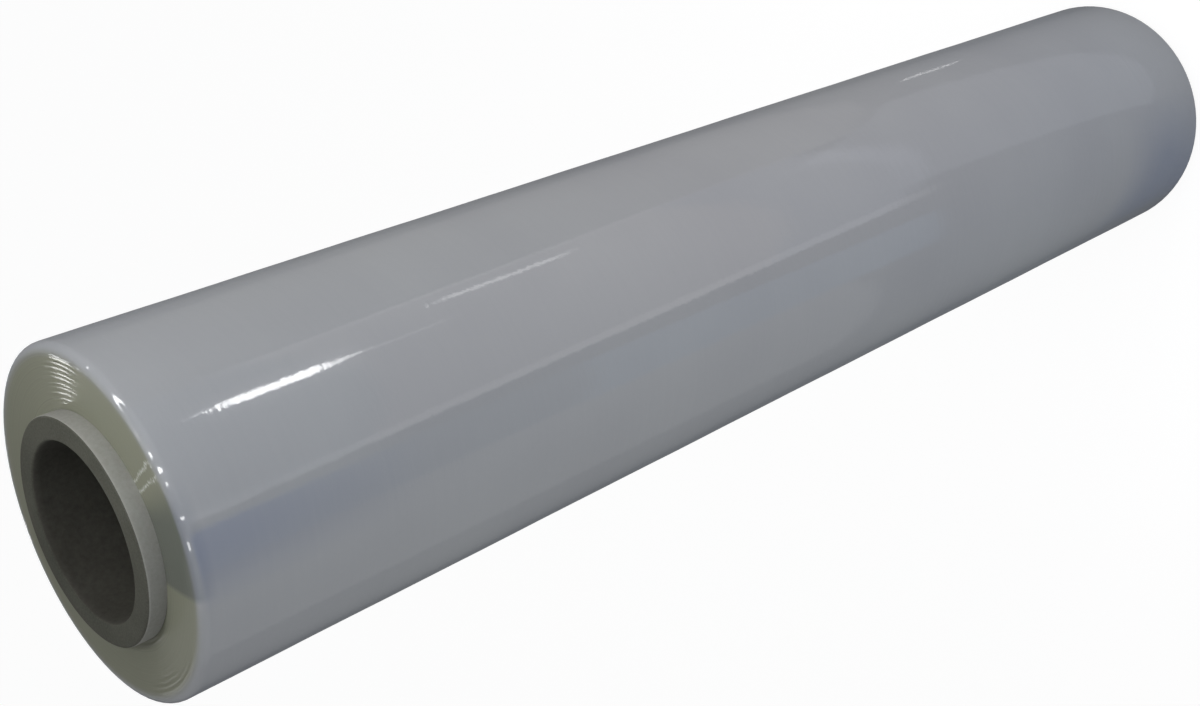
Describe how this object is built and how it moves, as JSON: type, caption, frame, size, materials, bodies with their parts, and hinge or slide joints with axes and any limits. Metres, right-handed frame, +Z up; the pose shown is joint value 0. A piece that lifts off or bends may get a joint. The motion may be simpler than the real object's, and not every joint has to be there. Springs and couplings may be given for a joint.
{
  "type": "stretch wrap roll",
  "caption": "Hand roll of clear stretch film wound on a thick cardboard core, with rounded rims, ringed end faces and a core that stands out at both ends.",
  "frame": {"origin": "centre of the lower core end, on the surface that the roll stands on", "axes": "+Z up along the roll's axis; the roll is round, so X and Y are free, and the picture was taken from the -Y side, from above the upper end"},
  "size_m": [0.0995, 0.0994, 0.508],
  "materials": {
    "film": "gloss, milky grey where many clear turns lie on each other",
    "core_board": "matte grey-brown board with a paler outer ply"
  },
  "bodies": {
    "root": {"film": "film", "core": "core_board"}
  },
  "joints": []
}
